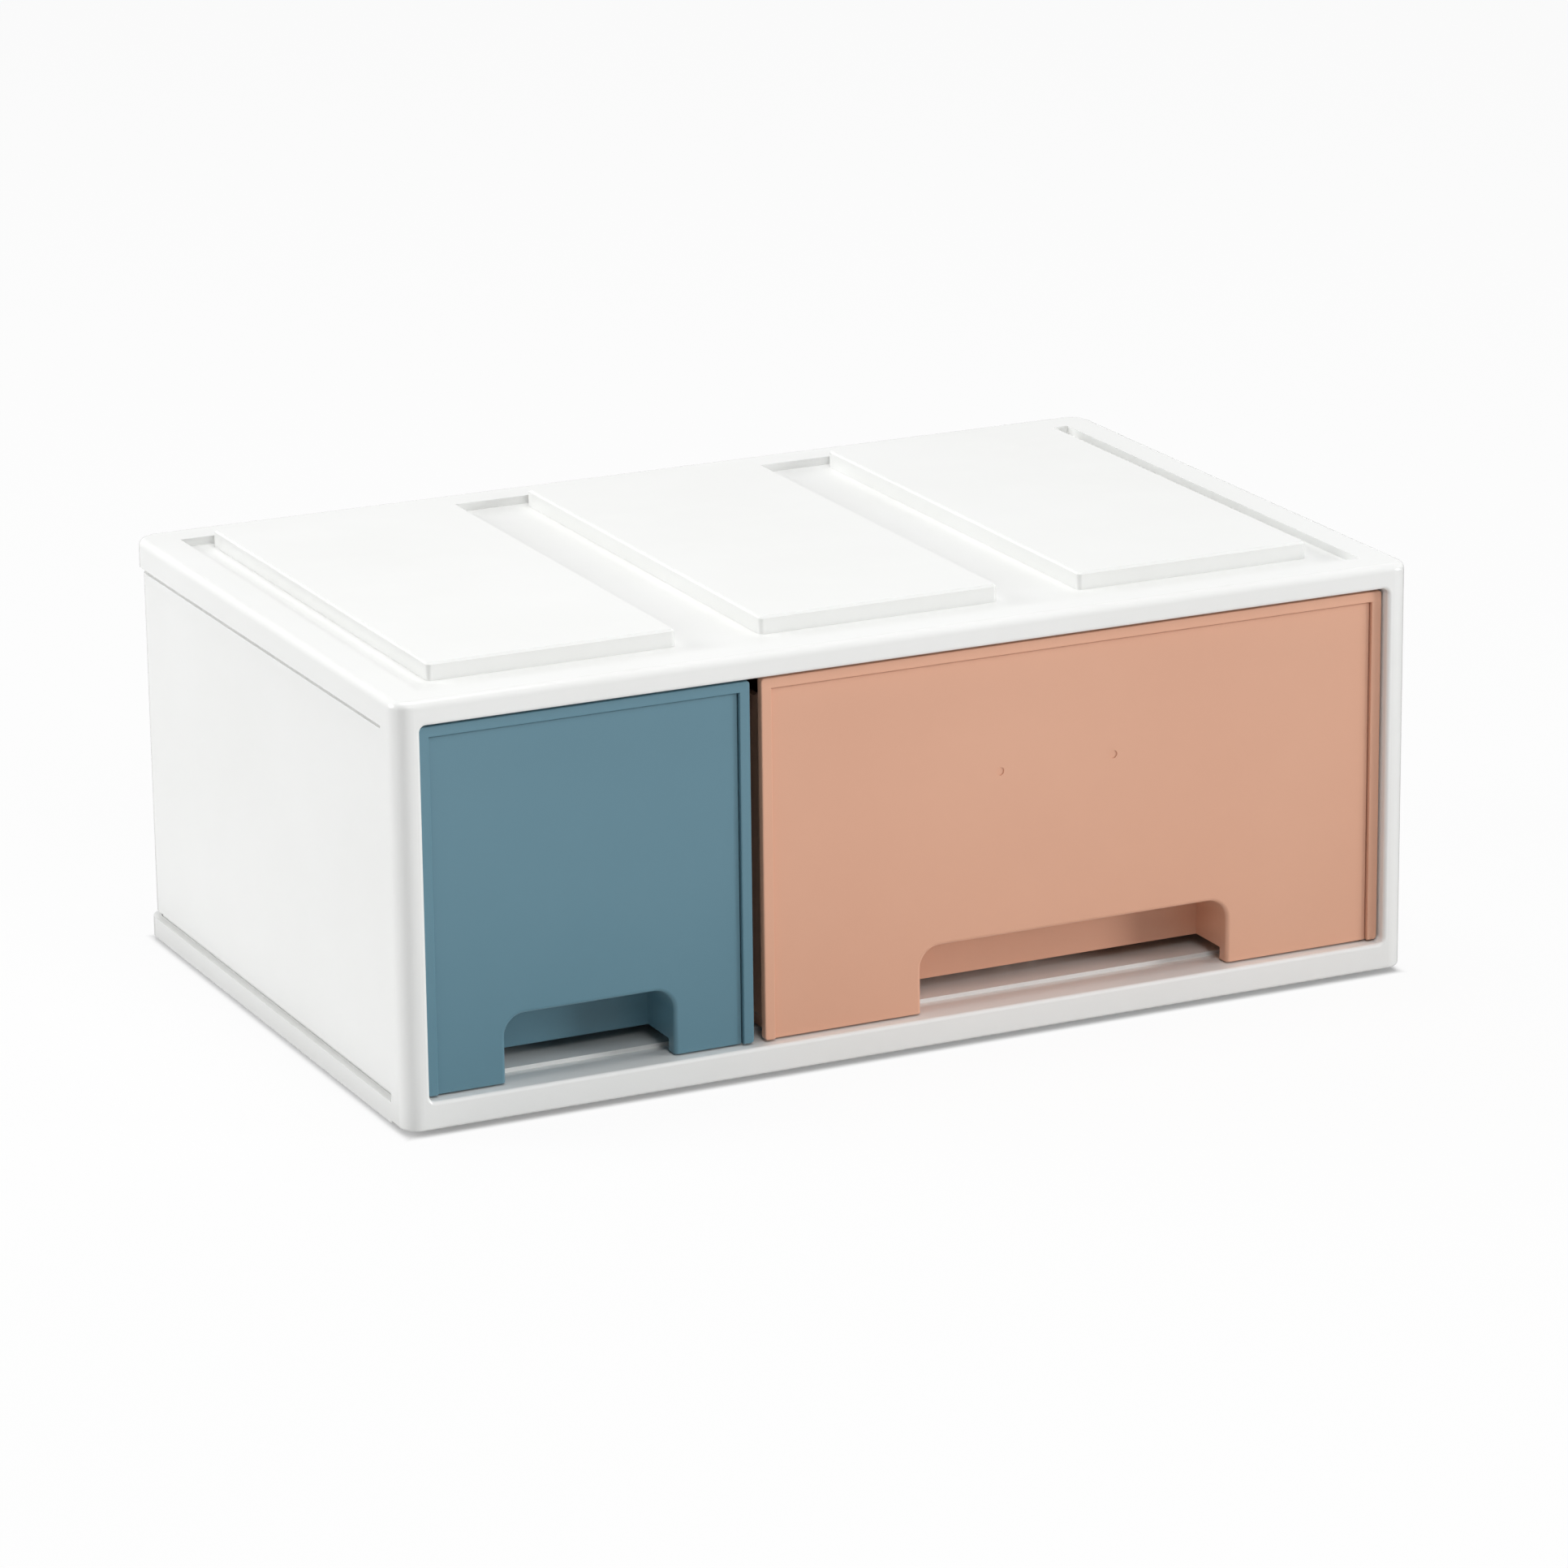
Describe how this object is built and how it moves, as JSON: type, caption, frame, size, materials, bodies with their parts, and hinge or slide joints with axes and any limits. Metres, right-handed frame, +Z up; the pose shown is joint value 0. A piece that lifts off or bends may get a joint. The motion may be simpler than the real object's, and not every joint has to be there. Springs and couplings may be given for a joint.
{
  "type": "stackable drawer box",
  "caption": "Low desktop storage cabinet of white panels in a front frame, with a narrow and a wide pull-out drawer, finger pockets, and a relief on top that locates a box stacked on it",
  "frame": {"origin": "on the table, under the middle of the box's outline", "axes": "+Z up, +X to the right along the front, -Y out of the front, the way the drawers open"},
  "size_m": [0.262, 0.168, 0.1052],
  "materials": {
    "white_frame": "gloss",
    "white_panel": "gloss",
    "blue_plastic": "satin",
    "peach_plastic": "satin"
  },
  "bodies": {
    "cabinet": {"front_frame": "white_frame", "top_panel": "white_panel", "bottom_panel": "white_panel", "left_side_panel": "white_panel", "right_side_panel": "white_panel", "back_panel": "white_panel"},
    "small_drawer": {"small_drawer_tray": "blue_plastic", "small_drawer_front": "blue_plastic"},
    "large_drawer": {"large_drawer_tray": "peach_plastic", "large_drawer_front": "peach_plastic"}
  },
  "joints": [
    {"name": "small_drawer_slide", "type": "slide", "parent": "cabinet", "child": "small_drawer", "axis": [0, -1, 0], "range_m": [0, 0.1273]},
    {"name": "large_drawer_slide", "type": "slide", "parent": "cabinet", "child": "large_drawer", "axis": [0, -1, 0], "range_m": [0, 0.1273]}
  ]
}
